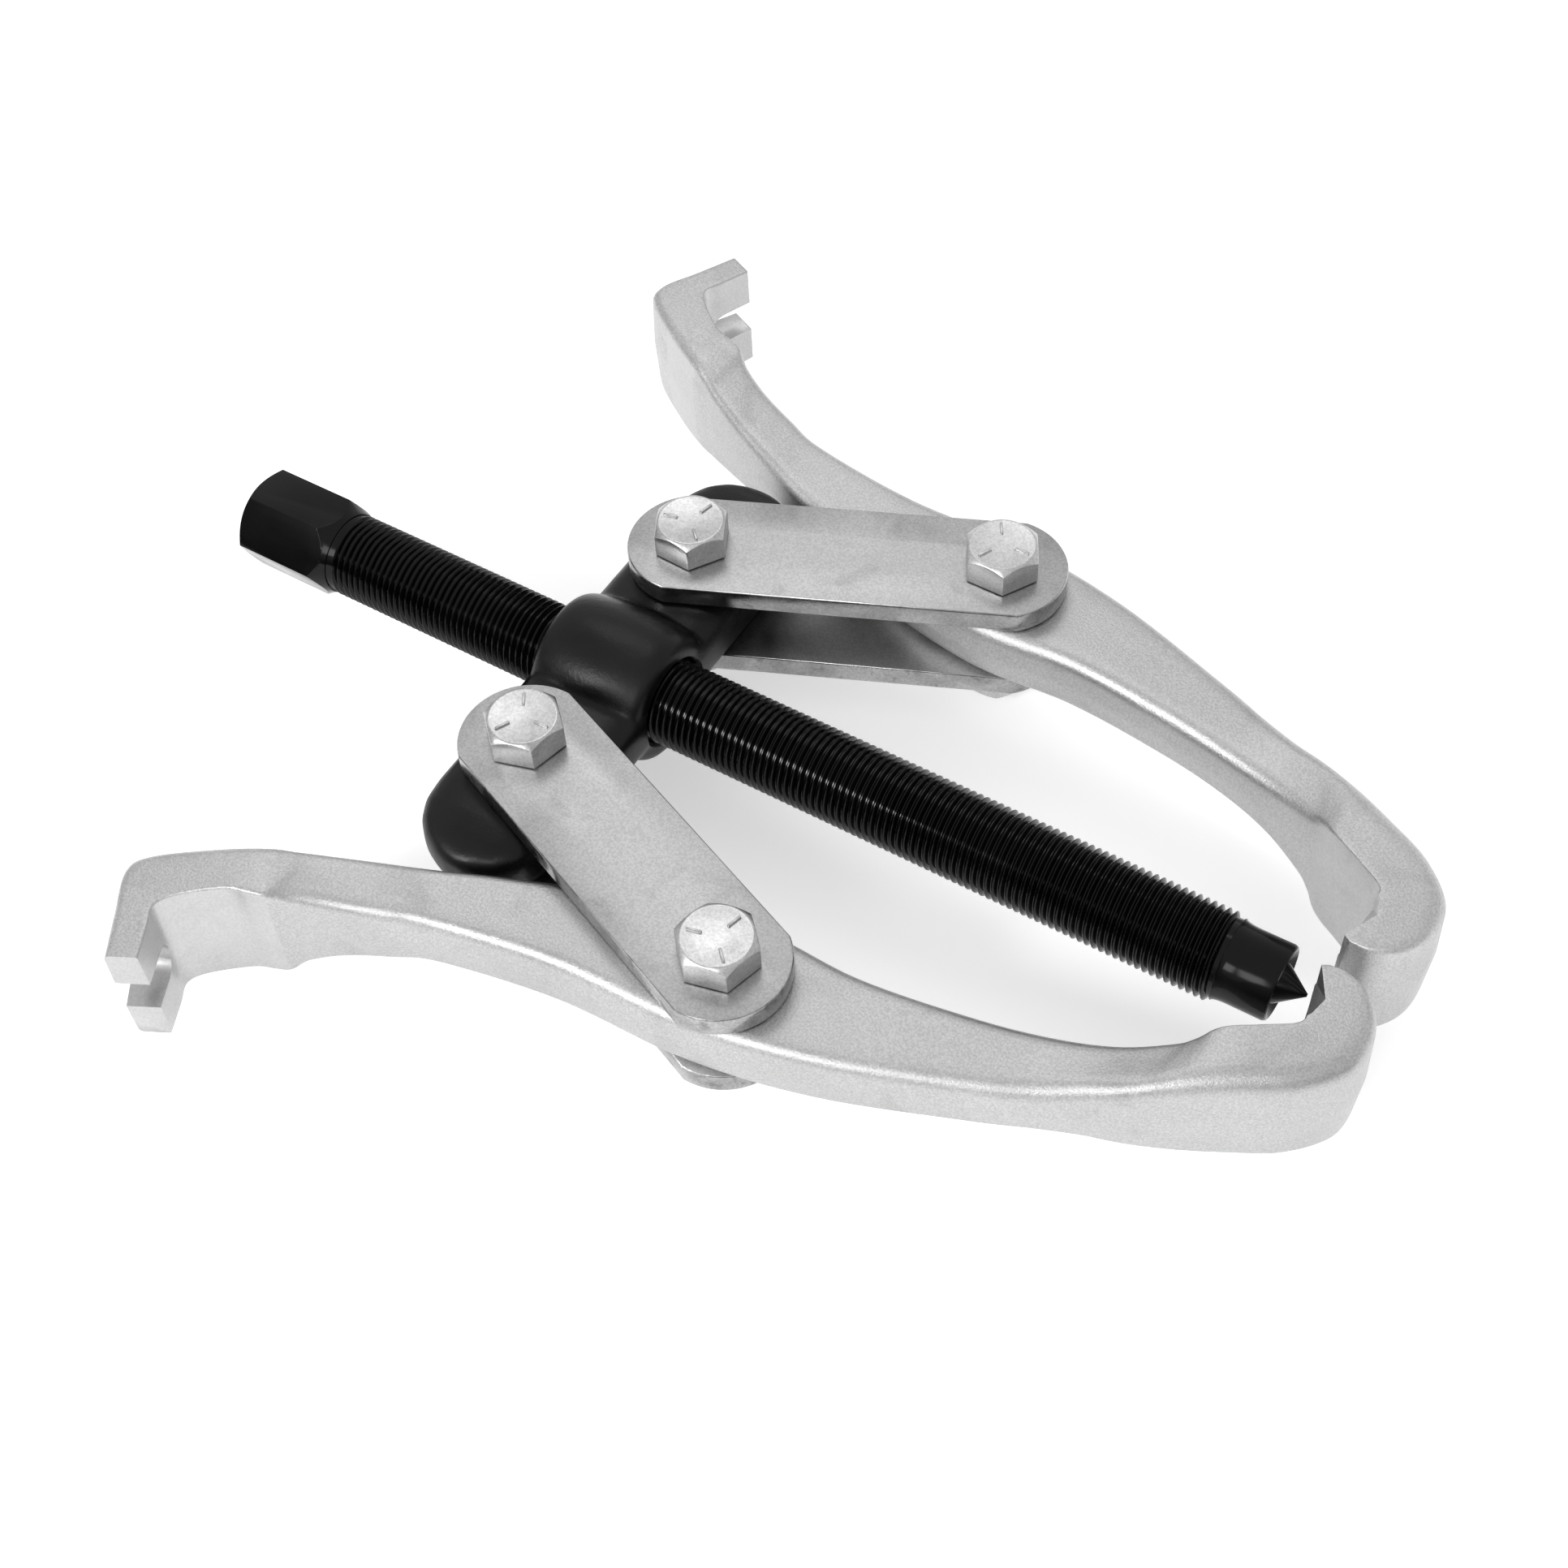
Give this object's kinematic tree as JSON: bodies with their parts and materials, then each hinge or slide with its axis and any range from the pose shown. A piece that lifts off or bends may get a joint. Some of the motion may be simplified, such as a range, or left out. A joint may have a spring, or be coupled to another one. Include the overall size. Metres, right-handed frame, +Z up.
{
  "type": "gear puller",
  "caption": "Reversible gear puller: a long forcing screw through a cross bar, with pivoting links that carry jaws hooked at both ends.",
  "frame": {"origin": "middle of the footprint, on the surface that the puller lies on", "axes": "+X along the forcing screw towards its point, +Z up out of the jaws' plane"},
  "size_m": [0.2608, 0.2196, 0.0424],
  "materials": {
    "zinc_plate": "satin zinc plate on flat bar and fasteners",
    "forged_zinc": "blasted and zinc plated forging",
    "black_oxide": "glossy black oxide",
    "black_forging": "satin black forging"
  },
  "bodies": {
    "yoke": {"yoke": "black_forging", "yoke_bolt_near": "zinc_plate", "yoke_bolt_far": "zinc_plate", "yoke_nut_near": "zinc_plate", "yoke_nut_far": "zinc_plate"},
    "point": {"centre_point": "black_oxide"},
    "screw": {"forcing_screw": "black_oxide"},
    "links_near": {"link_near_upper": "zinc_plate", "link_near_lower": "zinc_plate", "jaw_bolt_near": "zinc_plate", "jaw_nut_near": "zinc_plate"},
    "links_far": {"link_far_upper": "zinc_plate", "link_far_lower": "zinc_plate", "jaw_bolt_far": "zinc_plate", "jaw_nut_far": "zinc_plate"},
    "jaw_near": {"jaw_near": "forged_zinc"},
    "jaw_far": {"jaw_far": "forged_zinc"}
  },
  "joints": [
    {"name": "screw_feed", "type": "slide", "parent": "yoke", "child": "point", "axis": [1, 0, 0], "range_m": [-0.09, 0]},
    {"name": "screw_turn", "type": "hinge", "parent": "point", "child": "screw", "pos_m": [-0.03804, 0.0008, 0.0232], "axis": [1, 0, 0], "range_deg": [-21600, 0]},
    {"name": "link_swing_near", "type": "hinge", "parent": "yoke", "child": "links_near", "pos_m": [-0.03804, -0.02898, 0.0232], "axis": [0, 0, -1], "range_deg": [0, 60]},
    {"name": "jaw_swing_near", "type": "hinge", "parent": "links_near", "child": "jaw_near", "pos_m": [0.0214, -0.05271, 0.0232], "axis": [0, 0, -1], "range_deg": [-45, 0]},
    {"name": "link_swing_far", "type": "hinge", "parent": "yoke", "child": "links_far", "pos_m": [-0.03804, 0.03058, 0.0232], "axis": [0, 0, 1], "range_deg": [0, 60]},
    {"name": "jaw_swing_far", "type": "hinge", "parent": "links_far", "child": "jaw_far", "pos_m": [0.02064, 0.05612, 0.0232], "axis": [0, 0, 1], "range_deg": [-45, 0]}
  ],
  "couplings": [
    {"joint": "screw_turn", "follows": "screw_feed", "rad_per_m": 4188.7},
    {"joint": "jaw_swing_near", "follows": "link_swing_near", "ratio": -0.75},
    {"joint": "jaw_swing_far", "follows": "link_swing_far", "ratio": -0.75}
  ]
}
